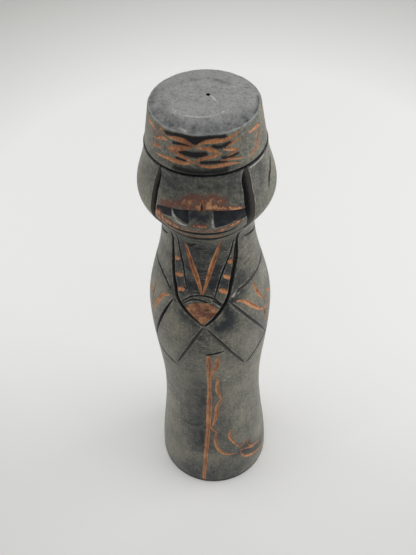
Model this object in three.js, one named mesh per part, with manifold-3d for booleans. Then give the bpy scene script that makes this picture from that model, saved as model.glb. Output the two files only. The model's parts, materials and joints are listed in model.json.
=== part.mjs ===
// A turned and carved wooden doll: one billet shaped on a lathe, then cut with a knife and a V gouge.
// Millimetres, +Z up. The origin is the centre of the flat underside and the face looks along -Y.
// A place on the doll is [angle, height]: degrees from the front towards +X, and height above the base.

import * as THREE from "three";
import { ConvexGeometry } from "three/addons/geometries/ConvexGeometry.js";
import { mergeVertices } from "three/addons/utils/BufferGeometryUtils.js";
import Module from "manifold-3d";

// Turned form, from the foot to the crown
const height = 180;
const footRadius = 21.9;
const footEdge = 0.8;
const waistRadius = 18.55;
const waistHeight = 49;
const shoulderRadius = 21.6;
const shoulderHeight = 95;
const neckRadius = 15.2;
const neckHeight = 134;
const headRadius = 21.8;
const headHeight = 149.7;
const hairTopRadius = 18.7;
const hairTopHeight = 165.2;
const grooveRadius = 17.5;
const grooveHeight = 165.6;
const bandRadius = 18.3;
const bandHeight = 166.1;
const rimRadius = 16.45;
const rimHeight = 178.3;
const rimEdge = 0.3;
const crownRadius = 9.8;

// How finely the turned form is faceted
const turnedSides = 36;
const ringsPerSwell = 6;
const leastRingStep = 2.5;

// Lathe centre left in the crown
const centreHole = { x: 1, y: 0.7, radius: 0.65, depth: 2.4 };

// Widths and depths of the cuts
const grooveCut = { width: 1.3, depth: 0.7 };
const fineCut = { width: 0.9, depth: 0.5 };
const leafCut = { width: 1.5, depth: 0.55 };
const bandCut = { width: 1.4, depth: 0.5 };
const trimCut = { width: 2.1, depth: 0.6 };
const chipCut = { width: 1.9, depth: 0.6 };
const notchCut = { width: 2.8, depth: 1.6 };
const mouthCut = { width: 1.6, depth: 1.1 };
const jawCut = { width: 2.6, depth: 1.1 };

// The face: flat floors cut in under an overhanging brow, with the nose left standing between the eyes.
// Each floor has its radius under the brow, the radius and height of its foot, the way it faces,
// and how far it runs sideways from there, with the drop of the brow at both of those ends.
const browHeight = 154.9;
const eyeFloor = { inner: 17.4, outer: 21.6, foot: 148.9 };
const rightEye = { ...eyeFloor, facing: 9, from: 0.5, to: 11, fromDrop: 0, toDrop: 1.8 };
const leftEye = { ...eyeFloor, facing: 6, from: -12, to: -5.8, fromDrop: 1.4, toDrop: 0 };
const rightCornerFloor = { inner: 18.9, outer: 21.6, foot: 150.2 };
const rightCorner = { ...rightCornerFloor, facing: 32, from: -2, to: 2.3, fromDrop: 1.2, toDrop: 2 };
const leftCornerFloor = { inner: 19.4, outer: 21.6, foot: 151.2 };
const leftCorner = { ...leftCornerFloor, facing: -30, from: -3.2, to: 2.3, fromDrop: 1.8, toDrop: 0.8 };
const noseFloor = { inner: 19.4, outer: 21.6, foot: 149.3 };
const nose = { ...noseFloor, facing: 0, from: -4, to: 4, fromDrop: 0, toDrop: 0 };

// The folded hands: a shield-shaped flat below the neckline
const handsPlace = [-3, 107.6];
const handsHalfWidth = 6.4;
const handsShoulder = 2.2;
const handsCrown = 6.6;
const handsDrop = 5;
const handsDepth = 0.7;

// Headband pattern: the heights of its rows and the angles that a lozenge and its wings span
const bandRows = { wingTop: 177.3, upper: 174.9, tip: 172.6, lower: 169.9, wingFoot: 168.3 };
const lozengeHalfAngle = 26;
const frontLozenge = -5;
const frontWing = 40;
const backLozenges = [115, 180, 245];
const backWing = 30;

// The curled hem ornament is repeated round the back, turned by these angles
const curlTurns = [0, 75, 150];

// How far a cutter stands clear of the wood
const gougeLift = 0.4;
const cutterReach = 28;

const stainedWood = new THREE.MeshStandardMaterial({ color: 0x3b3a37, roughness: 0.55, metalness: 0 });

const wasm = await Module();
wasm.setup();

// Heights and radii where the turned form swells and narrows
const swells = [
  [0, footRadius],
  [waistHeight, waistRadius],
  [shoulderHeight, shoulderRadius],
  [neckHeight, neckRadius],
  [headHeight, headRadius],
  [hairTopHeight, hairTopRadius],
  [grooveHeight, grooveRadius],
  [bandHeight, bandRadius],
];

function easedRadius(from, to, z) {
  const share = (z - from[0]) / (to[0] - from[0]);
  return from[1] + (to[1] - from[1]) * (1 - Math.cos(Math.PI * share)) / 2;
}

function turnedRadius(z) {
  if (z >= bandHeight) {
    return THREE.MathUtils.mapLinear(z, bandHeight, rimHeight, bandRadius, rimRadius);
  }
  const next = swells.findIndex(([level]) => level > z);
  return easedRadius(swells[next - 1], swells[next], z);
}

function turnedProfile() {
  const points = [new THREE.Vector2(0, 0), new THREE.Vector2(footRadius - footEdge, 0)];
  points.push(new THREE.Vector2(turnedRadius(footEdge), footEdge));
  for (let i = 1; i < swells.length; i += 1) {
    const [start, end] = [swells[i - 1][0], swells[i][0]];
    const steps = Math.min(ringsPerSwell, Math.ceil((end - start) / leastRingStep));
    for (let step = 1; step <= steps; step += 1) {
      const z = start + (end - start) * step / steps;
      points.push(new THREE.Vector2(turnedRadius(z), z));
    }
  }
  points.push(new THREE.Vector2(rimRadius, rimHeight - rimEdge));
  points.push(new THREE.Vector2(rimRadius - rimEdge, rimHeight));
  points.push(new THREE.Vector2(crownRadius, height - rimEdge / 2));
  points.push(new THREE.Vector2(crownRadius - rimEdge, height));
  points.push(new THREE.Vector2(0, height));
  return points;
}

// Solids: a closed geometry becomes a solid that can be joined and cut
function solidOf(geometry) {
  const shell = geometry.clone();
  shell.deleteAttribute("normal");
  shell.deleteAttribute("uv");
  const merged = mergeVertices(shell, 1e-4);
  const vertProperties = merged.attributes.position.array;
  const triVerts = new Uint32Array(merged.index.array);
  return new wasm.Manifold(new wasm.Mesh({ numProp: 3, vertProperties, triVerts }));
}

function geometryOf(solid) {
  const mesh = solid.getMesh();
  const geometry = new THREE.BufferGeometry();
  geometry.setAttribute("position", new THREE.BufferAttribute(mesh.vertProperties, mesh.numProp));
  geometry.setIndex(new THREE.BufferAttribute(mesh.triVerts, 1));
  geometry.computeVertexNormals();
  return geometry;
}

// Places on the turned surface
function surfacePoint([angle, z]) {
  const turn = THREE.MathUtils.degToRad(angle);
  const radius = turnedRadius(z);
  return new THREE.Vector3(radius * Math.sin(turn), -radius * Math.cos(turn), z);
}

function surfaceNormal([angle, z]) {
  const turn = THREE.MathUtils.degToRad(angle);
  const span = 0.4;
  const slope = (turnedRadius(z + span / 2) - turnedRadius(z - span / 2)) / span;
  return new THREE.Vector3(Math.sin(turn), -Math.cos(turn), -slope).normalize();
}

// One pass of the V gouge along a route of places. It comes up to a point at both ends.
const stationLength = 6;
const endShare = 0.1;
const aheadShare = 0.01;

function gouge(places, { width, depth }) {
  const route = new THREE.CatmullRomCurve3(places.map(([angle, z]) => new THREE.Vector3(angle, z, 0)));
  const placeAt = (share) => route.getPoint(share).toArray();
  const ends = [surfacePoint(placeAt(0)), surfacePoint(placeAt(1))];
  let length = 0;
  for (let i = 1; i < places.length; i += 1) {
    length += surfacePoint(places[i]).distanceTo(surfacePoint(places[i - 1]));
  }
  const stations = Math.max(3, Math.ceil(length / stationLength));
  const vertices = [...ends[0].toArray()];
  for (let i = 0; i < stations; i += 1) {
    const share = THREE.MathUtils.lerp(endShare, 1 - endShare, i / (stations - 1));
    const size = Math.sqrt(Math.sin(Math.PI * share));
    const place = placeAt(share);
    const point = surfacePoint(place);
    const normal = surfaceNormal(place);
    const ahead = surfacePoint(placeAt(share + aheadShare)).sub(point);
    const side = normal.clone().cross(ahead).normalize();
    const reach = size * width / 2 * (1 + gougeLift / (depth * size));
    const rim = point.clone().addScaledVector(normal, gougeLift);
    vertices.push(...rim.clone().addScaledVector(side, reach).toArray());
    vertices.push(...point.clone().addScaledVector(normal, -depth * size).toArray());
    vertices.push(...rim.clone().addScaledVector(side, -reach).toArray());
  }
  vertices.push(...ends[1].toArray());
  const last = 3 * stations + 1;
  const faces = [];
  for (let corner = 0; corner < 3; corner += 1) {
    const next = (corner + 1) % 3;
    faces.push(0, 1 + corner, 1 + next);
    for (let i = 0; i < stations - 1; i += 1) {
      const [a, b] = [1 + 3 * i + corner, 1 + 3 * i + next];
      faces.push(a, b + 3, b, a, a + 3, b + 3);
    }
    faces.push(last, last - 3 + next, last - 3 + corner);
  }
  const geometry = new THREE.BufferGeometry();
  geometry.setAttribute("position", new THREE.Float32BufferAttribute(vertices, 3));
  geometry.setIndex(faces);
  return solidOf(geometry);
}

// A flat cut under the brow: a wedge with its floor at the back and the underside of the brow on top
function browCut({ inner, outer, foot, facing, from, to, fromDrop, toDrop }) {
  const fall = (browHeight - foot) / (outer - inner);
  const corners = [];
  for (const [x, drop] of [[from, fromDrop], [to, toDrop]]) {
    corners.push(new THREE.Vector3(x, -inner - drop / fall, browHeight - drop));
    corners.push(new THREE.Vector3(x, -cutterReach, browHeight - drop));
    corners.push(new THREE.Vector3(x, -cutterReach, browHeight - fall * (cutterReach - inner)));
  }
  const geometry = new ConvexGeometry(corners);
  geometry.rotateZ(THREE.MathUtils.degToRad(facing));
  return solidOf(geometry);
}

function faceCuts() {
  const floors = [rightEye, leftEye, rightCorner, leftCorner, nose].map(browCut);
  const browNick = gouge([[0.4, 158.4], [0.7, 154.2]], fineCut);
  const mouth = gouge([[-31, 146.9], [-15, 144.8], [2, 144.3], [20, 145], [31, 147.2]], mouthCut);
  const jaw = gouge([[-42, 147.2], [-27, 141.2], [-16, 139.6], [16, 139.4], [30, 141], [41, 146]], jawCut);
  const leftNotch = gouge([[-39.6, 165.4], [-42.6, 159], [-43, 152], [-46, 141]], notchCut);
  const rightNotch = gouge([[42.5, 165.4], [42.3, 159], [41.8, 152], [43.5, 141]], notchCut);
  return [...floors, browNick, mouth, jaw, leftNotch, rightNotch];
}

// Headband: leaf-shaped cuts in lozenges with wings, and loose leaves beside the one in front
function lozengeCuts(centre, wing) {
  const upper = [centre, bandRows.upper];
  const lower = [centre, bandRows.lower];
  const leaves = [];
  for (const side of [-1, 1]) {
    const tip = [centre + side * lozengeHalfAngle, bandRows.tip];
    leaves.push([upper, tip], [lower, tip]);
    leaves.push([upper, [centre + side * wing, bandRows.wingTop]]);
    leaves.push([lower, [centre + side * wing, bandRows.wingFoot]]);
  }
  return leaves.map((leaf) => gouge(leaf, bandCut));
}

function headbandCuts() {
  const cuts = lozengeCuts(frontLozenge, frontWing);
  for (const centre of backLozenges) {
    cuts.push(...lozengeCuts(centre, backWing));
  }
  const looseLeaves = [
    [[21.5, 173.4], [39.5, 175.2]],
    [[22.5, 173.5], [38, 172.4]],
    [[23.5, 170.5], [38, 172.4]],
    [[20, 170], [46, 168.6]],
    [[51, 175.6], [73, 174.4]],
    [[74, 173.9], [61, 170.9]],
    [[63, 169.3], [48.5, 168.3]],
    [[-73, 176.1], [-49, 175]],
    [[-53, 172.7], [-35, 174.7]],
    [[-54.5, 172.7], [-42, 171]],
    [[-59, 169.8], [-43, 171]],
  ];
  cuts.push(...looseLeaves.map((leaf) => gouge(leaf, bandCut)));
  return cuts;
}

// Robe: the crossed collars, the neckline and the chips between the collar lines
function collarCuts() {
  const cuts = [
    gouge([[-45, 136.5], [-43, 127], [-36, 117], [-31, 111], [-22, 107], [-2, 102.4]], grooveCut),
    gouge([[44, 137], [38, 129], [31, 122], [25, 113.5], [16, 109], [0, 102.8]], grooveCut),
    gouge([[-36, 136.5], [-28, 125], [-19, 115]], fineCut),
    gouge([[38, 135], [22, 124], [10, 114]], fineCut),
    gouge([[-23.5, 134.5], [-12, 125], [-2, 115.2]], leafCut),
    gouge([[21.5, 136], [9, 126], [-1.5, 115.4]], leafCut),
    gouge([[52, 134], [110, 128.5], [180, 127], [250, 128.5], [308, 134]], grooveCut),
  ];
  const chips = [[-35.5, 126.5], [-31, 121], [-26.5, 115.5], [31, 126.5], [25.5, 121], [20.5, 116]];
  const chipHalfAngle = 5;
  for (const [angle, z] of chips) {
    cuts.push(gouge([[angle - chipHalfAngle, z], [angle + chipHalfAngle, z]], chipCut));
  }
  return cuts;
}

function handsCut() {
  const shield = new THREE.Shape();
  shield.moveTo(0, -handsDrop);
  shield.lineTo(handsHalfWidth, handsShoulder);
  shield.quadraticCurveTo(0, handsCrown, -handsHalfWidth, handsShoulder);
  shield.closePath();
  const depth = 4 * handsDepth;
  const geometry = new THREE.ExtrudeGeometry(shield, { depth, bevelEnabled: false, curveSegments: 6 });
  const normal = surfaceNormal(handsPlace);
  const across = new THREE.Vector3(0, 0, 1).cross(normal).normalize();
  geometry.applyMatrix4(new THREE.Matrix4().makeBasis(across, normal.clone().cross(across), normal));
  const floor = surfacePoint(handsPlace).addScaledVector(normal, -handsDepth);
  geometry.translate(floor.x, floor.y, floor.z);
  return solidOf(geometry);
}

// Sleeves: outlines of the crossed arms, and the curling leaves on them
function sleeveCuts() {
  const outlines = [
    [[-104, 117], [-78, 116.6], [-52, 116], [-33, 111.6]],
    [[104, 117], [70, 116.2], [45, 115], [26, 111.6]],
    [[-36, 109], [-45, 100.4], [-66, 82]],
    [[25, 111], [42.5, 102.4], [76, 82]],
    [[-34, 76.6], [-49, 75.6], [-66, 77.4], [-92, 82]],
    [[43, 76], [58, 79.6], [76, 81.6], [100, 83.5]],
    [[-3, 102], [-15, 92.4], [-31, 77.4]],
    [[1.5, 102], [18, 93], [41, 76.4]],
    [[-104, 115], [-92, 83.5]],
    [[108, 115], [100, 85]],
  ];
  const handBand = [[-26, 110.4], [-15, 113.4], [-4, 114.7], [7, 113.7], [17, 110.4]];
  const belt = [[-3.5, 87.7], [6, 87.6], [17, 88.6]];
  const leaves = [
    [[56.5, 114], [60, 109], [67, 102.4]],
    [[31.5, 110.8], [46, 108.2], [65.5, 99.4]],
    [[67, 102.4], [76, 104.5], [86, 100.5]],
    [[65.5, 99.4], [76, 97.5], [86, 100.5]],
    [[66, 99], [72, 94], [82, 85.5]],
    [[-40, 111.6], [-49, 108.6], [-63.5, 97.8]],
    [[-64, 113], [-66.5, 104], [-64.5, 97]],
    [[-66, 103], [-74, 105], [-82, 100.5]],
  ];
  const cuts = outlines.map((line) => gouge(line, grooveCut));
  cuts.push(...leaves.map((leaf) => gouge(leaf, leafCut)));
  cuts.push(gouge(handBand, fineCut), gouge(belt, grooveCut));
  return cuts;
}

// Robe opening: the long trim to the hem, the scallops beside it and the curling hem ornament
function trimCuts() {
  const longTrim = [[2.3, 86.2], [1.6, 50], [-3, 26], [-7.6, 1.2]];
  const scallops = [
    [[12, 86.8], [9.5, 81], [5, 74.8]],
    [[4, 74.4], [13, 69.6]],
    [[13, 70], [10.5, 64], [15.5, 56.2]],
    [[15.5, 56.2], [11, 50], [10, 44], [4.5, 38.6]],
    [[2.5, 38.4], [10, 34.6]],
    [[9.5, 35], [6.5, 28], [12, 21.4], [20, 19], [30, 17.8]],
  ];
  const curl = [
    [[26.6, 34.8], [22.8, 31], [29.5, 25.4], [34.5, 20]],
    [[34, 19.8], [36.5, 16.4], [43, 12], [61, 10], [82, 5]],
    [[35, 21.6], [41.5, 22.6], [47.5, 22.2]],
    [[47.5, 22.4], [50, 18.4], [57, 15.6], [75, 12.2]],
    [[34.5, 19.4], [41.5, 18], [49, 18.4]],
  ];
  const cuts = [gouge(longTrim, trimCut)];
  cuts.push(...scallops.map((line) => gouge(line, leafCut)));
  for (const turn of curlTurns) {
    cuts.push(...curl.map((line) => gouge(line.map(([angle, z]) => [angle + turn, z]), leafCut)));
  }
  return cuts;
}

function centreCut() {
  const { x, y, radius, depth } = centreHole;
  const geometry = new THREE.CylinderGeometry(radius, radius / 3, 2 * depth, 8);
  geometry.rotateX(Math.PI / 2);
  geometry.translate(x, y, height);
  return solidOf(geometry);
}

function makeDoll() {
  const turned = new THREE.LatheGeometry(turnedProfile(), turnedSides);
  turned.rotateX(Math.PI / 2);
  let solid = solidOf(turned);
  const cuts = [
    ...faceCuts(),
    ...headbandCuts(),
    ...collarCuts(),
    handsCut(),
    ...sleeveCuts(),
    ...trimCuts(),
    centreCut(),
  ];
  for (const cut of cuts) {
    solid = solid.subtract(cut);
  }
  const doll = new THREE.Mesh(geometryOf(solid), stainedWood);
  doll.name = "doll";
  return doll;
}

const part = new THREE.Group();
part.add(makeDoll());

export default part;
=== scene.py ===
import json
import math

import bmesh
import bpy
import numpy
from mathutils import Matrix, Vector, noise

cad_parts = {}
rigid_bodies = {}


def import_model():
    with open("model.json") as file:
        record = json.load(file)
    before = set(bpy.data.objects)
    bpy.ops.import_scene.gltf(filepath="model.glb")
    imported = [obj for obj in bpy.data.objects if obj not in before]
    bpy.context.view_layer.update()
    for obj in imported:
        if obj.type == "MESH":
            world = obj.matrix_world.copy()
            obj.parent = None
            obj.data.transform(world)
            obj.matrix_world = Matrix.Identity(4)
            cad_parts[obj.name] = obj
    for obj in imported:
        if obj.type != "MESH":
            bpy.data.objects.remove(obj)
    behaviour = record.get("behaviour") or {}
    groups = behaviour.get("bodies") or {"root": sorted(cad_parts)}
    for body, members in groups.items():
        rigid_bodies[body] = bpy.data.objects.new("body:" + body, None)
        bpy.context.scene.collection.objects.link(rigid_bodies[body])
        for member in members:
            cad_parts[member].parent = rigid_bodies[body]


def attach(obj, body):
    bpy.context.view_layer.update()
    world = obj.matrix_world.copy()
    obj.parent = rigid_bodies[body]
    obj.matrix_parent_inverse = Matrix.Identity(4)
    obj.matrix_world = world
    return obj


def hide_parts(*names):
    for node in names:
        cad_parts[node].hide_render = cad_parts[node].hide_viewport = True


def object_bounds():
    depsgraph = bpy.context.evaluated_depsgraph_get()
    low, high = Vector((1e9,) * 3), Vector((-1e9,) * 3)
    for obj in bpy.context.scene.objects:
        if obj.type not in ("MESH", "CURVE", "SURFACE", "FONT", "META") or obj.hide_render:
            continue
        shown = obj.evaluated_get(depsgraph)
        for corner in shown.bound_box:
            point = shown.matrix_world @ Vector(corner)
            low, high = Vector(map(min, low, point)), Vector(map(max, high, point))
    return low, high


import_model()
cadLow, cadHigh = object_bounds()
mm = 0.001  # the doll is shaped in millimetres and brought to metres at the end
print("frame loaded, box", [round(v, 4) for v in cadHigh - cadLow])

# Finishes of the doll, in the order of its material slots
stained, grooved, bare, hollow, palm, seam = range(6)

# The turned form: height and radius at each swell, in millimetres
turned = {
    "height": (cadHigh.z - cadLow.z) / mm,
    "swells": [(0, 21.9), (49, 18.55), (95, 21.6), (134, 15.2), (149.7, 21.8), (165.2, 18.7),
               (165.6, 17.5), (166.1, 18.3)],
    "footEdge": 0.8,
    "rimHeight": 178.3,
    "rimRadius": 16.45,
    "rimEdge": 0.35,
    "crownRadius": 9.8,
    "crownShift": Vector((-1, -0.2, 0)),  # the flat of the crown is a little off centre
    "sides": 240,
    "bodyStep": 0.75,
    "headStep": 0.45,
    "headFrom": 134,
    "footSteps": 4,
    "rimSteps": 3,
    "coneSteps": 14,
    "flatSteps": 16,
    "waver": 0.08,  # how far the hand-held tool wandered
    "waverScale": 0.09,
    "waverStretch": 0.6,
    "waverInwards": 0.5,
    "rimWear": 0.3,
    "rimZone": 1,
    "dentScale": 0.55,
    "dentFrom": 0.1,
}


def turnedRadius(z):
    top, rim = turned["swells"][-1], (turned["rimHeight"], turned["rimRadius"])
    if z >= top[0]:
        return top[1] + (rim[1] - top[1]) * (z - top[0]) / (rim[0] - top[0])
    for (lowZ, lowR), (highZ, highR) in zip(turned["swells"], turned["swells"][1:]):
        if z <= highZ:
            share = max(0, z - lowZ) / (highZ - lowZ)
            return lowR + (highR - lowR) * (1 - math.cos(math.pi * share)) / 2


def onSurface(angle, z):
    turn, radius = math.radians(angle), turnedRadius(z)
    return Vector((radius * math.sin(turn), -radius * math.cos(turn), z))


def surfaceNormal(angle, z, span=0.4):
    turn = math.radians(angle)
    slope = (turnedRadius(z + span / 2) - turnedRadius(z - span / 2)) / span
    return Vector((math.sin(turn), -math.cos(turn), -slope)).normalized()


def makeObject(name, bm, collection=None):
    bmesh.ops.recalc_face_normals(bm, faces=bm.faces)
    mesh = bpy.data.meshes.new(name)
    bm.to_mesh(mesh)
    bm.free()
    made = bpy.data.objects.new(name, mesh)
    (collection or bpy.context.scene.collection).objects.link(made)
    return made


def dollOutline():
    edge, rim, rimZ = turned["footEdge"], turned["rimRadius"], turned["rimHeight"]
    height, crown, lip = turned["height"], turned["crownRadius"], turned["rimEdge"]
    footSteps, rimSteps = turned["footSteps"], turned["rimSteps"]
    coneSteps, flatSteps = turned["coneSteps"], turned["flatSteps"]
    foot = turnedRadius(edge) - edge
    outline = [(0, 0), (turnedRadius(0) / 2, 0)]
    for step in range(footSteps + 1):  # rounded foot
        turn = math.pi / 2 * step / footSteps
        outline.append((foot + edge * math.sin(turn), edge - edge * math.cos(turn)))
    for (lowZ, _), (highZ, _) in zip(turned["swells"], turned["swells"][1:] + [(rimZ - lip, 0)]):
        ringStep = turned["headStep"] if lowZ >= turned["headFrom"] else turned["bodyStep"]
        steps = max(2, round((highZ - lowZ) / ringStep))
        for step in range(1, steps + 1):
            z = lowZ + (highZ - lowZ) * step / steps
            if z > edge:
                outline.append((turnedRadius(z), z))
    for step in range(1, rimSteps + 1):  # rounded rim
        turn = math.pi / 2 * step / rimSteps
        outline.append((rim - lip + lip * math.cos(turn), rimZ - lip + lip * math.sin(turn)))
    for step in range(1, coneSteps + 1):  # low cone up to the flat of the crown
        share = step / coneSteps
        outline.append((rim - lip + (crown - rim + lip) * share, rimZ + (height - rimZ) * share))
    for step in range(flatSteps - 1, -1, -1):
        outline.append((crown * step / flatSteps, height))
    return outline


def turnBillet():
    bm = bmesh.new()
    verts = [bm.verts.new((r, 0, z)) for r, z in dollOutline()]
    edges = [bm.edges.new(pair) for pair in zip(verts, verts[1:])]
    bmesh.ops.spin(bm, geom=verts + edges, cent=(0, 0, 0), axis=(0, 0, 1), dvec=(0, 0, 0),
                   angle=math.tau, steps=turned["sides"], use_merge=True)
    bmesh.ops.remove_doubles(bm, verts=bm.verts, dist=1e-4)
    rimZ, rim, crown = turned["rimHeight"], turned["rimRadius"], turned["crownRadius"]
    zone = turned["rimZone"]
    for vert in bm.verts:
        out = Vector((vert.co.x, vert.co.y, 0))
        if vert.co.z > rimZ:
            vert.co += turned["crownShift"] * min(1, max(0, (rim - out.length) / (rim - crown)))
        if vert.co.z < turned["footEdge"] or out.length < 1:
            continue  # the foot and the middle of the crown stay true
        if vert.co.z < rimZ - zone:
            spot = Vector((out.x, out.y, vert.co.z * turned["waverStretch"]))
            wander = noise.noise(spot * turned["waverScale"])
            vert.co += out.normalized() * (wander - turned["waverInwards"]) * turned["waver"]
        elif out.length > rim - zone:
            dent = max(0, noise.noise(vert.co * turned["dentScale"]) - turned["dentFrom"])
            vert.co -= out.normalized() * dent * turned["rimWear"]
    print("turned billet:", len(bm.faces), "faces")
    return makeObject("doll", bm)


# The cuts: width and depth in millimetres, the side the foot of the V leans to, and how it ends:
# a low number keeps it full to its ends and a high one makes it a lens
cuts = {
    "collar": {"width": 1.7, "depth": 0.8, "lean": 0, "ends": 0.25},
    "groove": {"width": 1.3, "depth": 0.75, "lean": 0, "ends": 0.3},
    "fold": {"width": 1.6, "depth": 0.6, "lean": 0, "ends": 0.4},
    "fine": {"width": 0.9, "depth": 0.5, "lean": 0, "ends": 0.3},
    "crack": {"width": 1.5, "depth": 0.5, "lean": 0, "ends": 0.3},
    "scratch": {"width": 0.55, "depth": 0.2, "lean": 0, "ends": 0.5},
    "leaf": {"depth": 0.5, "lean": 0.2, "ends": 0.75},  # each leaf has its own width
    "band": {"depth": 0.45, "lean": 0.2, "ends": 0.85},
    "necklineLeft": {"width": 1.75, "depth": 0.6, "lean": -0.4, "ends": 0.6},
    "necklineRight": {"width": 1.75, "depth": 0.6, "lean": 0.4, "ends": 0.6},
    "trim": {"width": 2.1, "depth": 0.6, "lean": 0.25, "ends": 0.12},
    "chip": {"width": 1.8, "depth": 0.5, "lean": 0.3, "ends": 0.3},
    "leftNotch": {"width": 2.6, "depth": 1.7, "lean": 0.6, "ends": 0.4},
    "rightNotch": {"width": 4, "depth": 1.7, "lean": -0.75, "ends": 0.4},
    "mouth": {"width": 2.5, "depth": 1.2, "lean": 0.3, "ends": 0.7},
    "jaw": {"width": 2.6, "depth": 1.1, "lean": 0.5, "ends": 0.4},
}
gouge = {
    "room": 0.8,  # how far a cutter stands above the wood, as a share of its depth
    "tip": 0.06,  # size of a cut at its very ends
    "step": 0.8,  # millimetres from one station of a cut to the next
    "fewest": 6,
    "ahead": 0.01,  # share of the route looked along for its direction
    "waver": 0.2,  # how unevenly the hand pressed
    "waverScale": (5, 3.7, 0.5),
    "sharpAngle": 28,  # edges sharper than this stay crisp
}
cutters = bpy.data.collections.new("cutters")
bpy.context.scene.collection.children.link(cutters)


def alongRoute(places, share):
    reach = share * (len(places) - 1)
    at = min(int(max(0, reach)), len(places) - 2)
    t = reach - at
    near = [max(0, min(len(places) - 1, at + k)) for k in (-1, 0, 1, 2)]
    before, start, end, after = (Vector(places[index]) for index in near)
    bend = 2 * before - 5 * start + 4 * end - after
    twist = 3 * start - before - 3 * end + after
    return (2 * start + (end - before) * t + bend * t * t + twist * t ** 3) / 2


def station(places, share, cut, width, seed):
    angle, z = alongRoute(places, share)
    sights = (share + gouge["ahead"], share - gouge["ahead"])
    front, back = (onSurface(*alongRoute(places, sight)) for sight in sights)
    normal = surfaceNormal(angle, z)
    side = normal.cross(front - back).normalized()
    swell = max(0, math.sin(math.pi * min(1, max(0, share)))) ** cut["ends"]
    pace, spread, level = gouge["waverScale"]
    hand = 1 + gouge["waver"] * noise.noise(Vector((share * pace, seed * spread, level)))
    size = gouge["tip"] + (1 - gouge["tip"]) * swell * hand
    sideways, inwards = side * size * width / 2, normal * size * cut["depth"]
    matrix = Matrix.Identity(4)
    for index, column in enumerate((sideways, inwards, side.cross(normal), onSurface(angle, z))):
        matrix.col[index][:3] = column
    return matrix


def setFinish(bm, finish):
    for item in bm.faces:
        item.material_index = finish


def gougeCut(places, kind, finish, seed=0, width=None):
    cut = cuts[kind]
    length = sum((onSurface(*a) - onSurface(*b)).length for a, b in zip(places, places[1:]))
    steps = max(gouge["fewest"], round(length / gouge["step"]))
    shares = [step / steps for step in range(steps + 1)]
    stations = [station(places, share, cut, width or cut["width"], seed + length) for share in shares]
    lean, room = cut["lean"], gouge["room"]
    section = [(-1 - room * (1 + lean), room), (lean, -1), (1 + room * (1 - lean), room)]
    bm = bmesh.new()
    tip = bm.faces.new([bm.verts.new(stations[0] @ Vector((x, y, 0))) for x, y in section])
    for index, (was, now) in enumerate(zip(stations, stations[1:])):
        grown = bmesh.ops.extrude_face_region(bm, geom=[tip])["geom"]
        if index:
            bmesh.ops.delete(bm, geom=[tip], context="FACES_ONLY")
        tip = next(item for item in grown if isinstance(item, bmesh.types.BMFace))
        bmesh.ops.transform(bm, matrix=now @ was.inverted(), verts=tip.verts)
    setFinish(bm, finish)
    makeObject("cut", bm, cutters)


# Face: flat floors under the brow, the nose left standing between them, and the cuts round the face
face = {
    "browHeight": 154.9,
    "outer": 21.6,  # radius where a floor comes out
    "reach": 30,
    "floorStep": 0.6,  # size of the facets of a hollow
    "footRoom": 2,
    # radius under the brow, height of the foot, where it faces, its span and how the brow drops there
    "floors": [
        {"inner": 17.4, "foot": 148.9, "facing": 9, "span": (0.5, 11), "drop": (0, 1.8)},
        {"inner": 17.4, "foot": 148.9, "facing": 6, "span": (-12, -5.8), "drop": (1.4, 0)},
        {"inner": 18.9, "foot": 150.2, "facing": 32, "span": (-2, 2.3), "drop": (1.2, 2)},
        {"inner": 19.4, "foot": 151.2, "facing": -30, "span": (-3.2, 2.3), "drop": (1.8, 0.8)},
        {"inner": 19.4, "foot": 149.3, "facing": 0, "span": (-4, 4), "drop": (0, 0), "finish": stained},
    ],
    "browNick": [(0.4, 158.4), (0.7, 154.2)],
    "mouth": [(-31, 147), (-15, 145.2), (2, 144.7), (20, 145.2), (31, 147.2)],
    "jaw": [(-42, 147.2), (-35, 144.6), (-27, 141.2), (-16, 139.6), (0, 139.4), (16, 139.4), (30, 141),
            (41, 146)],
    "leftNotch": [(-39.6, 165.4), (-42.6, 159), (-43, 152), (-46, 141)],
    "rightNotch": [(42.5, 165.4), (42.3, 159), (41.8, 152), (43.5, 141)],
    "hairCrack": [(88, 160.2), (77.1, 157.7), (72, 156.8), (66, 153.9)],
}


def browCut(floor):
    reach, inner, brow = face["reach"], floor["inner"], face["browHeight"]
    slope = (brow - floor["foot"]) / (face["outer"] - inner)
    bm = bmesh.new()
    for x, drop in zip(floor["span"], floor["drop"]):
        for y, z in ((inner + drop / slope, -drop), (reach, -slope * (reach - inner)), (reach, -drop)):
            bm.verts.new((x, -y, z))
    bmesh.ops.convex_hull(bm, input=bm.verts)
    for axis, low, high in ((0, *floor["span"]), (2, floor["foot"] - brow - face["footRoom"], 0)):
        count = round((high - low) / face["floorStep"])
        for step in range(1, count):  # facets, so that the patina can follow the hollow
            place, across = Vector(), Vector()
            place[axis], across[axis] = low + (high - low) * step / count, 1
            bmesh.ops.bisect_plane(bm, geom=bm.verts[:] + bm.edges[:] + bm.faces[:], dist=1e-5,
                                   plane_co=place, plane_no=across)
    turn = Matrix.Rotation(math.radians(floor["facing"]), 4, "Z")
    bmesh.ops.transform(bm, matrix=Matrix.Translation((0, 0, brow)) @ turn, verts=bm.verts)
    setFinish(bm, floor.get("finish", hollow))
    makeObject("browCut", bm, cutters)


def carveFace():
    for floor in face["floors"]:
        browCut(floor)
    for route, kind, finish in (
        ("browNick", "fine", grooved),
        ("mouth", "mouth", grooved),
        ("jaw", "jaw", grooved),
        ("leftNotch", "leftNotch", seam),
        ("rightNotch", "rightNotch", seam),
        ("hairCrack", "crack", grooved),
    ):
        gougeCut(face[route], kind, finish)
    print("face cut")


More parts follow.
